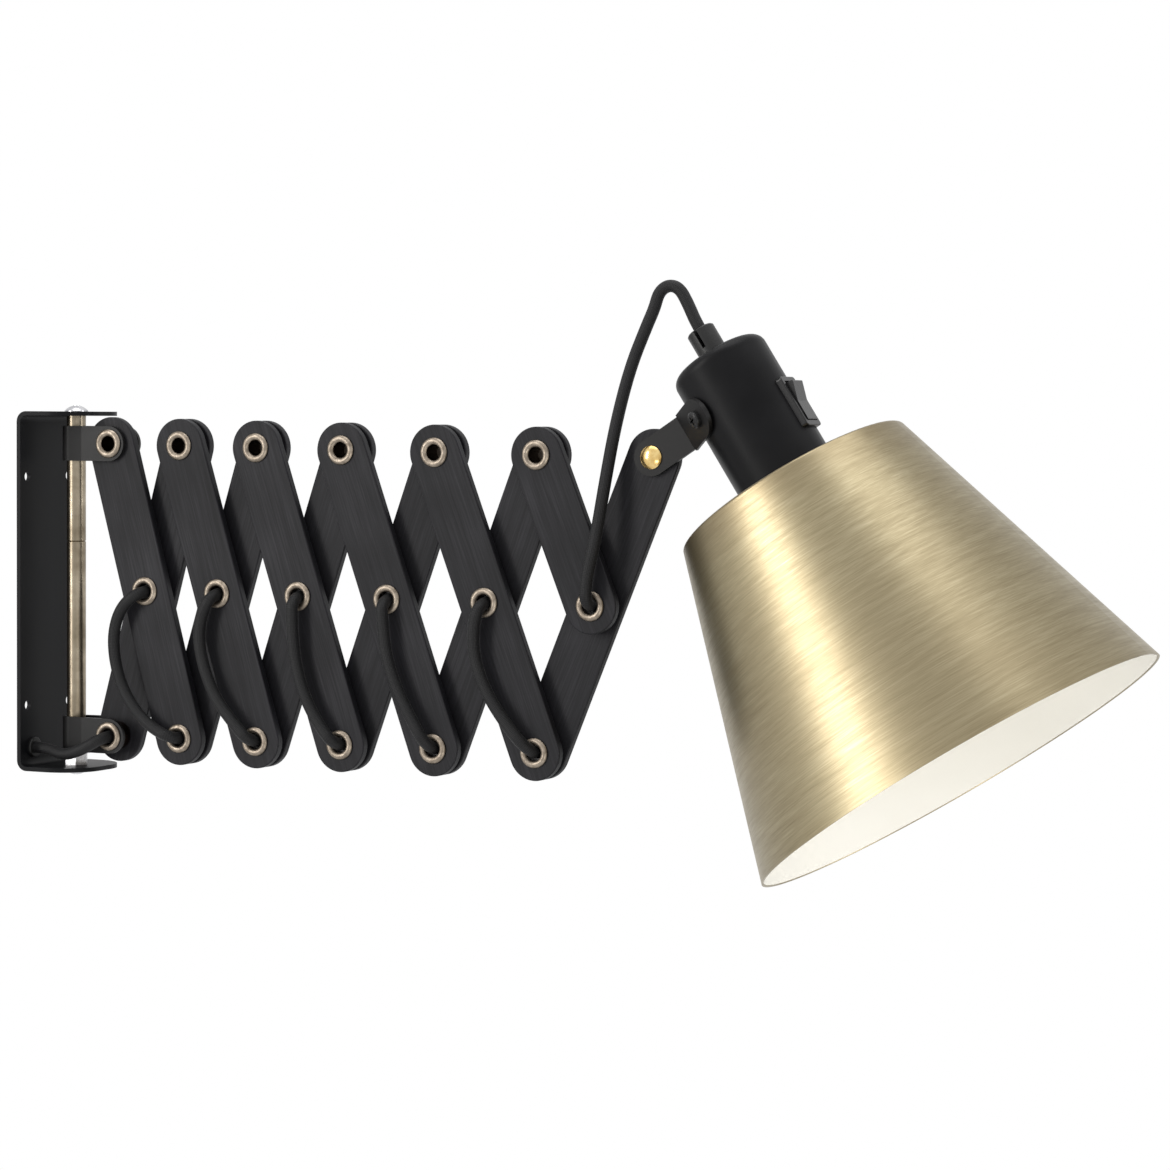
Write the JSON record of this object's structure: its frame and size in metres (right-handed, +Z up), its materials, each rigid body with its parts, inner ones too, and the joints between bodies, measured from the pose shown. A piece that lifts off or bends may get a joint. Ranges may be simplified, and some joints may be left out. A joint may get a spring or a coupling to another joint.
{
  "type": "accordion wall lamp",
  "caption": "Wall lamp on a folding scissor arm of black slats, with a swivelling wall bracket and a tilting head that has a conical brass shade.",
  "frame": {"origin": "centre of the wall plate's back face, which lies against the wall", "axes": "+X out of the wall along the arm, +Z up, +Y towards the side that the picture doesn't show"},
  "size_m": [0.5396, 0.1934, 0.2616],
  "materials": {
    "black_metal": "satin black",
    "black_wood": "black stain, fine grain",
    "rivet_brass": "aged brass",
    "tube_brass": "antique brass",
    "bright_brass": "polished brass",
    "contact_brass": "plain brass",
    "shade_brass": "brushed antique brass",
    "zinc_steel": "bright zinc",
    "screw_steel": "chromed",
    "black_steel": "black",
    "black_plastic": "satin black",
    "cord_sleeve": "woven black sleeve"
  },
  "bodies": {
    "wall_bracket": {"wall_plate": "black_metal", "pivot_rod": "zinc_steel", "lower_tube": "tube_brass", "upper_tube": "tube_brass", "base_nut": "zinc_steel", "base_washer": "zinc_steel", "bracket_screws": "screw_steel", "cord_grommet": "black_plastic", "cord_lead": "cord_sleeve"},
    "lower_collar": {"lower_strap": "black_metal", "lower_rivet": "rivet_brass", "lower_spacer": "rivet_brass"},
    "upper_collar": {"upper_strap": "black_metal", "upper_rivet": "rivet_brass", "upper_spacer": "rivet_brass"},
    "front_arm_1": {"front_bar_1": "black_wood", "rivets_1": "rivet_brass", "cord_front_1": "cord_sleeve"},
    "rear_arm_1": {"rear_bar_1": "black_wood", "cord_rear_1": "cord_sleeve"},
    "front_arm_2": {"front_bar_2": "black_wood", "rivets_2": "rivet_brass", "cord_front_2": "cord_sleeve"},
    "rear_arm_2": {"rear_bar_2": "black_wood", "cord_rear_2": "cord_sleeve"},
    "front_arm_3": {"front_bar_3": "black_wood", "rivets_3": "rivet_brass", "cord_front_3": "cord_sleeve"},
    "rear_arm_3": {"rear_bar_3": "black_wood", "cord_rear_3": "cord_sleeve"},
    "front_arm_4": {"front_bar_4": "black_wood", "rivets_4": "rivet_brass", "cord_front_4": "cord_sleeve"},
    "rear_arm_4": {"rear_bar_4": "black_wood", "cord_rear_4": "cord_sleeve"},
    "front_arm_5": {"front_bar_5": "black_wood", "rivets_5": "rivet_brass", "cord_front_5": "cord_sleeve"},
    "rear_arm_5": {"rear_bar_5": "black_wood", "cord_rear_5": "cord_sleeve"},
    "front_arm_6": {"front_bar_6": "black_wood", "rivets_6": "rivet_brass"},
    "rear_arm_6": {"rear_bar_6": "black_wood", "cord_rear_6": "cord_sleeve", "cord_head_loop": "cord_sleeve"},
    "lamp_head": {"lamp_cup": "black_metal", "head_bracket": "black_metal", "head_pivot_screw": "bright_brass", "head_pivot_nut": "bright_brass", "tab_screw": "black_steel", "cord_grip": "black_plastic", "grip_nut": "black_steel", "switch_housing": "black_plastic", "switch_terminals": "contact_brass", "lampholder": "black_plastic", "screw_shell": "contact_brass", "centre_contact": "contact_brass", "shade_ring": "black_plastic", "shade": "shade_brass"},
    "switch_rocker": {"rocker": "black_plastic"}
  },
  "joints": [
    {"name": "arm_swing", "type": "hinge", "parent": "wall_bracket", "child": "lower_collar", "pos_m": [0.018, 0, 0], "axis": [0, 0, 1], "range_deg": [-75, 75], "deforming": ["cord_lead"]},
    {"name": "fold", "type": "hinge", "parent": "lower_collar", "child": "rear_arm_1", "pos_m": [0.041, 0, -0.0678], "axis": [0, 1, 0], "range_deg": [0, 34.5]},
    {"name": "front_1_pivot", "type": "hinge", "parent": "rear_arm_1", "child": "front_arm_1", "pos_m": [0.05987, 0, 0.00096], "axis": [0, 1, 0], "range_deg": [-79.35, 0]},
    {"name": "upper_collar_pivot", "type": "hinge", "parent": "front_arm_1", "child": "upper_collar", "pos_m": [0.041, 0, 0.06971], "axis": [0, 1, 0], "range_deg": [0, 39.67]},
    {"name": "rear_2_pivot", "type": "hinge", "parent": "front_arm_1", "child": "rear_arm_2", "pos_m": [0.07859, 0, -0.06724], "axis": [0, 1, 0], "range_deg": [0, 77.74]},
    {"name": "front_2_pivot", "type": "hinge", "parent": "rear_arm_2", "child": "front_arm_2", "pos_m": [0.0994, 0, 0.00096], "axis": [0, 1, 0], "range_deg": [-76.14, 0]},
    {"name": "front_3_pivot", "type": "hinge", "parent": "rear_arm_2", "child": "front_arm_3", "pos_m": [0.12004, 0, 0.0686], "axis": [0, 1, 0], "range_deg": [-74.83, 0]},
    {"name": "rear_3_pivot", "type": "hinge", "parent": "front_arm_3", "child": "rear_arm_3", "pos_m": [0.14258, 0, 0.00096], "axis": [0, 1, 0], "range_deg": [0, 73.52]},
    {"name": "rear_4_pivot", "type": "hinge", "parent": "front_arm_3", "child": "rear_arm_4", "pos_m": [0.16494, 0, -0.06614], "axis": [0, 1, 0], "range_deg": [0, 72.26]},
    {"name": "front_4_pivot", "type": "hinge", "parent": "rear_arm_4", "child": "front_arm_4", "pos_m": [0.18907, 0, 0.00096], "axis": [0, 1, 0], "range_deg": [-70.99, 0]},
    {"name": "front_5_pivot", "type": "hinge", "parent": "rear_arm_4", "child": "front_arm_5", "pos_m": [0.213, 0, 0.0675], "axis": [0, 1, 0], "range_deg": [-70.01, 0]},
    {"name": "rear_5_pivot", "type": "hinge", "parent": "front_arm_5", "child": "rear_arm_5", "pos_m": [0.2386, 0, 0.00096], "axis": [0, 1, 0], "range_deg": [0, 69.03]},
    {"name": "rear_6_pivot", "type": "hinge", "parent": "front_arm_5", "child": "rear_arm_6", "pos_m": [0.26399, 0, -0.06505], "axis": [0, 1, 0], "range_deg": [0, 68.1]},
    {"name": "front_6_pivot", "type": "hinge", "parent": "rear_arm_6", "child": "front_arm_6", "pos_m": [0.29096, 0, 0.00096], "axis": [0, 1, 0], "range_deg": [-67.17, 0]},
    {"name": "head_tilt", "type": "hinge", "parent": "rear_arm_6", "child": "lamp_head", "pos_m": [0.3177, 0, 0.06642], "axis": [0, 1, 0], "range_deg": [-60, 26], "deforming": ["cord_head_loop"]},
    {"name": "rocker_press", "type": "hinge", "parent": "lamp_head", "child": "switch_rocker", "pos_m": [0.38236, 0.008, 0.09033], "axis": [0, 1, 0], "range_deg": [-18, 0]}
  ],
  "couplings": [
    {"joint": "front_1_pivot", "follows": "fold", "ratio": -2},
    {"joint": "upper_collar_pivot", "follows": "fold", "ratio": 1},
    {"joint": "rear_2_pivot", "follows": "fold", "ratio": 1.9595},
    {"joint": "front_2_pivot", "follows": "fold", "ratio": -1.919},
    {"joint": "front_3_pivot", "follows": "fold", "ratio": -1.886},
    {"joint": "rear_3_pivot", "follows": "fold", "ratio": 1.853},
    {"joint": "rear_4_pivot", "follows": "fold", "ratio": 1.8212},
    {"joint": "front_4_pivot", "follows": "fold", "ratio": -1.7894},
    {"joint": "front_5_pivot", "follows": "fold", "ratio": -1.7646},
    {"joint": "rear_5_pivot", "follows": "fold", "ratio": 1.7398},
    {"joint": "rear_6_pivot", "follows": "fold", "ratio": 1.7164},
    {"joint": "front_6_pivot", "follows": "fold", "ratio": -1.693}
  ]
}
